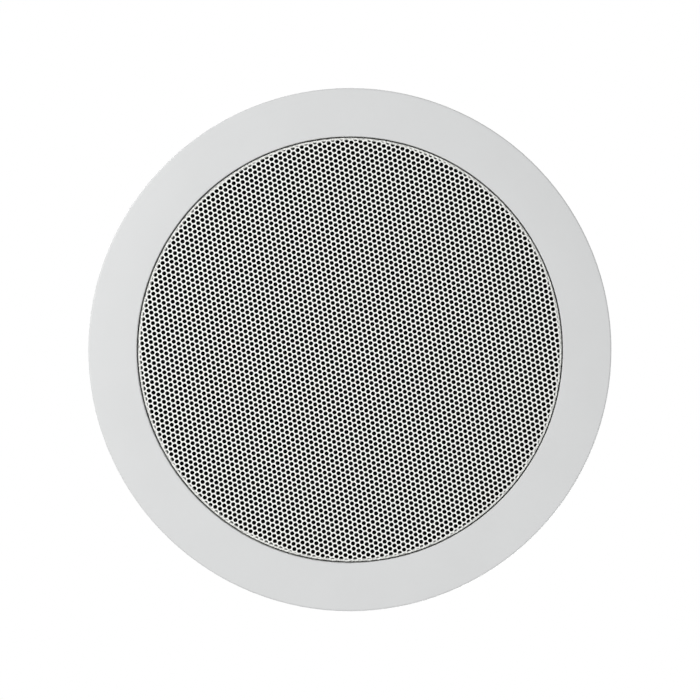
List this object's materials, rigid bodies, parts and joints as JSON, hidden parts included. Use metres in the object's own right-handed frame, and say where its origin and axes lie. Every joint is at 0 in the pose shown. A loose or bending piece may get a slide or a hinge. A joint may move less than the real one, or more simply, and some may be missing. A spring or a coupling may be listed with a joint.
{
  "type": "in-ceiling speaker",
  "caption": "Round flush-mount ceiling speaker: white bezel and perforated grille over a woofer, a pivoting tweeter and a crossover, held in the ceiling by swing-out clamps.",
  "frame": {"origin": "on the axis, in the plane of the flange's back face, which meets the ceiling", "axes": "+Z along the axis, up into the ceiling void; the grille faces -Z; the crossover board is at -Y"},
  "size_m": [0.238, 0.238, 0.073],
  "materials": {
    "white_plastic": "fine moulded texture",
    "white_paint": "satin powder coat",
    "black_cloth": "fine weave",
    "black_plastic": "fine moulded texture",
    "red_plastic": "satin",
    "foam": "closed-cell foam",
    "surround_rubber": "matt",
    "black_steel": "black paint",
    "cone_plastic": "mica-filled, satin",
    "former_metal": "plain",
    "copper": "enamelled wire",
    "spider_cloth": "resin-treated weave",
    "zinc_steel": "zinc plated",
    "ferrite": "ground ferrite",
    "dome_silk": "coated silk",
    "brass": "turned",
    "tinned": "tinned",
    "board": "solder mask",
    "film_case": "resin dipped",
    "can_sleeve": "shrink sleeve",
    "ceramic": "fired ceramic",
    "bobbin": "nylon",
    "lead_red": "insulated wire",
    "lead_black": "insulated wire",
    "fibre": "phenolic board",
    "tinsel": "woven tinsel"
  },
  "bodies": {
    "frame": {"bezel": "white_plastic", "woofer_gasket": "foam", "woofer_surround": "surround_rubber", "woofer_basket": "black_steel", "woofer_spider": "spider_cloth", "top_plate": "zinc_steel", "magnet": "ferrite", "back_plate": "zinc_steel", "woofer_screws": "zinc_steel", "tweeter_bridge": "black_plastic", "bridge_screws": "zinc_steel", "tweeter_lead": "lead_black", "crossover_board": "board", "board_screws": "zinc_steel", "inductor_bobbin": "bobbin", "inductor_winding": "copper", "film_capacitor": "film_case", "electrolytic_capacitor": "can_sleeve", "cement_resistor": "ceramic", "terminal_block": "black_plastic", "tag_strip": "fibre", "solder_tags": "tinned", "woofer_lead_red": "lead_red", "woofer_lead_black": "lead_black", "tinsel_leads": "tinsel"},
    "grille": {"grille": "white_paint", "grille_scrim": "black_cloth"},
    "cone": {"woofer_cone": "cone_plastic", "dust_cap": "cone_plastic", "coil_former": "former_metal", "coil_winding": "copper"},
    "tweeter": {"tweeter_housing": "black_plastic", "tweeter_faceplate": "black_plastic", "tweeter_dome": "dome_silk", "tweeter_coil": "copper", "tweeter_pole_plate": "zinc_steel", "tweeter_magnet": "tinned", "tweeter_yoke": "zinc_steel"},
    "lever_red": {"terminal_lever_red": "red_plastic"},
    "lever_black": {"terminal_lever_black": "black_plastic"},
    "clamp_screw_1": {"clamp_screw_1": "zinc_steel"},
    "clamp_insert_1": {"clamp_insert_1": "brass"},
    "clamp_dog_1": {"clamp_dog_1": "black_plastic"},
    "clamp_screw_2": {"clamp_screw_2": "zinc_steel"},
    "clamp_insert_2": {"clamp_insert_2": "brass"},
    "clamp_dog_2": {"clamp_dog_2": "black_plastic"},
    "clamp_screw_3": {"clamp_screw_3": "zinc_steel"},
    "clamp_insert_3": {"clamp_insert_3": "brass"},
    "clamp_dog_3": {"clamp_dog_3": "black_plastic"},
    "clamp_screw_4": {"clamp_screw_4": "zinc_steel"},
    "clamp_insert_4": {"clamp_insert_4": "brass"},
    "clamp_dog_4": {"clamp_dog_4": "black_plastic"}
  },
  "joints": [
    {"name": "grille_pull", "type": "slide", "parent": "frame", "child": "grille", "axis": [0, 0, -1], "range_m": [0, 0.06]},
    {"name": "cone_stroke", "type": "slide", "parent": "frame", "child": "cone", "axis": [0, 0, -1], "range_m": [-0.003, 0.003], "stiffness_N_per_m": 1800, "deforming": ["woofer_surround", "woofer_spider", "tinsel_leads"]},
    {"name": "tweeter_tilt", "type": "hinge", "parent": "frame", "child": "tweeter", "pos_m": [0, 0, 0.0085], "axis": [0, 1, 0], "range_deg": [-12, 12]},
    {"name": "terminal_press_red", "type": "hinge", "parent": "frame", "child": "lever_red", "pos_m": [0.013, -0.07705, 0.0346], "axis": [1, 0, 0], "range_deg": [0, 22], "stiffness_Nm_per_rad": 0.05},
    {"name": "terminal_press_black", "type": "hinge", "parent": "frame", "child": "lever_black", "pos_m": [0.024, -0.07705, 0.0346], "axis": [1, 0, 0], "range_deg": [0, 22], "stiffness_Nm_per_rad": 0.05},
    {"name": "clamp_travel_1", "type": "slide", "parent": "frame", "child": "clamp_insert_1", "axis": [0, 0, -1], "range_m": [0, 0.0195]},
    {"name": "clamp_screw_turn_1", "type": "hinge", "parent": "frame", "child": "clamp_screw_1", "pos_m": [0.06293, 0.06293, 0.0072], "axis": [0, 0, 1], "range_deg": [0, 4680]},
    {"name": "clamp_swing_1", "type": "hinge", "parent": "clamp_insert_1", "child": "clamp_dog_1", "pos_m": [0.06293, 0.06293, 0.03], "axis": [0, 0, 1], "range_deg": [0, 90]},
    {"name": "clamp_travel_2", "type": "slide", "parent": "frame", "child": "clamp_insert_2", "axis": [0, 0, -1], "range_m": [0, 0.0195]},
    {"name": "clamp_screw_turn_2", "type": "hinge", "parent": "frame", "child": "clamp_screw_2", "pos_m": [-0.06293, 0.06293, 0.0072], "axis": [0, 0, 1], "range_deg": [0, 4680]},
    {"name": "clamp_swing_2", "type": "hinge", "parent": "clamp_insert_2", "child": "clamp_dog_2", "pos_m": [-0.06293, 0.06293, 0.03], "axis": [0, 0, 1], "range_deg": [0, 90]},
    {"name": "clamp_travel_3", "type": "slide", "parent": "frame", "child": "clamp_insert_3", "axis": [0, 0, -1], "range_m": [0, 0.0195]},
    {"name": "clamp_screw_turn_3", "type": "hinge", "parent": "frame", "child": "clamp_screw_3", "pos_m": [-0.06293, -0.06293, 0.0072], "axis": [0, 0, 1], "range_deg": [0, 4680]},
    {"name": "clamp_swing_3", "type": "hinge", "parent": "clamp_insert_3", "child": "clamp_dog_3", "pos_m": [-0.06293, -0.06293, 0.03], "axis": [0, 0, 1], "range_deg": [0, 90]},
    {"name": "clamp_travel_4", "type": "slide", "parent": "frame", "child": "clamp_insert_4", "axis": [0, 0, -1], "range_m": [0, 0.0195]},
    {"name": "clamp_screw_turn_4", "type": "hinge", "parent": "frame", "child": "clamp_screw_4", "pos_m": [0.06293, -0.06293, 0.0072], "axis": [0, 0, 1], "range_deg": [0, 4680]},
    {"name": "clamp_swing_4", "type": "hinge", "parent": "clamp_insert_4", "child": "clamp_dog_4", "pos_m": [0.06293, -0.06293, 0.03], "axis": [0, 0, 1], "range_deg": [0, 90]}
  ],
  "couplings": [
    {"joint": "clamp_screw_turn_1", "follows": "clamp_travel_1", "rad_per_m": 4188.8},
    {"joint": "clamp_screw_turn_2", "follows": "clamp_travel_2", "rad_per_m": 4188.8},
    {"joint": "clamp_screw_turn_3", "follows": "clamp_travel_3", "rad_per_m": 4188.8},
    {"joint": "clamp_screw_turn_4", "follows": "clamp_travel_4", "rad_per_m": 4188.8}
  ]
}
